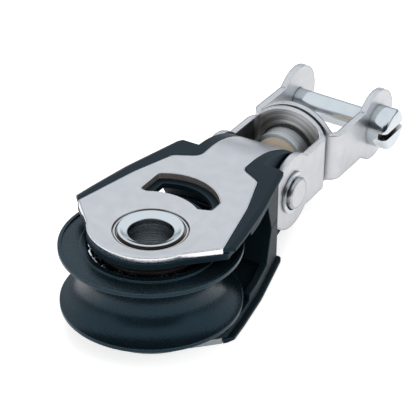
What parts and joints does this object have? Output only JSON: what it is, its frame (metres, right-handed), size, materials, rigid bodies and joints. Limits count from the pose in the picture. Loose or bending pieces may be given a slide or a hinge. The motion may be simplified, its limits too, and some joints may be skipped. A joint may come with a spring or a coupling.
{
  "type": "swivel block",
  "caption": "Small ball-bearing rope block: grooved sheave between steel-plated cheeks, with a tilting yoke and a swivelling shackle closed by a slotted pin.",
  "frame": {"origin": "centre of the sheave, on the axis of its hollow axle", "axes": "+Z along the axle, up; +Y from the sheave towards the shackle; +X to the side that holds the head of the shackle's pin"},
  "size_m": [0.0302, 0.0852, 0.0184],
  "materials": {
    "satin_steel": "satin stainless sheet with polished edges",
    "bright_steel": "polished stainless",
    "brushed_steel": "turned stainless",
    "bronze": "turned bronze, warm tan end",
    "black_nylon": "matte black nylon",
    "cheek_plastic": "matte blue-black glass-filled nylon",
    "sheave_plastic": "satin blue-black acetal, finely grained",
    "race_alloy": "black anodised",
    "bearing_balls": "polished stainless balls"
  },
  "bodies": {
    "block_frame": {"strap": "satin_steel", "upper_cheek": "cheek_plastic", "lower_cheek": "cheek_plastic", "axle_tube": "bright_steel", "upper_rivet_washer": "bright_steel", "lower_rivet_washer": "bright_steel", "inner_race": "race_alloy", "pivot_bush": "brushed_steel"},
    "sheave": {"sheave": "sheave_plastic"},
    "ball_rows": {"upper_balls": "bearing_balls", "lower_balls": "bearing_balls"},
    "yoke": {"yoke": "satin_steel", "pivot_pin": "satin_steel", "right_clip": "bright_steel", "left_clip": "bright_steel"},
    "shackle": {"shackle": "satin_steel", "swivel_post": "bronze", "swivel_collar": "brushed_steel", "head_washer": "black_nylon", "thrust_washer": "black_nylon"},
    "shackle_pin": {"shackle_pin": "bright_steel"}
  },
  "joints": [
    {"name": "sheave_spin", "type": "hinge", "parent": "block_frame", "child": "sheave", "pos_m": [0, 0, 0], "axis": [0, 0, 1], "continuous": true},
    {"name": "ball_orbit", "type": "hinge", "parent": "block_frame", "child": "ball_rows", "pos_m": [0, 0, 0], "axis": [0, 0, 1], "continuous": true},
    {"name": "yoke_tilt", "type": "hinge", "parent": "block_frame", "child": "yoke", "pos_m": [0, 0.0333, 0], "axis": [1, 0, 0], "range_deg": [-75, 75]},
    {"name": "swivel_turn", "type": "hinge", "parent": "yoke", "child": "shackle", "pos_m": [0, 0.0447, -0.0002], "axis": [0, 0.9998, -0.0175], "continuous": true},
    {"name": "shackle_pin_pull", "type": "slide", "parent": "shackle", "child": "shackle_pin", "axis": [0.9997, -0.0005, -0.0262], "range_m": [0, 0.0183]}
  ],
  "couplings": [
    {"joint": "ball_orbit", "follows": "sheave_spin", "ratio": 0.5613}
  ]
}
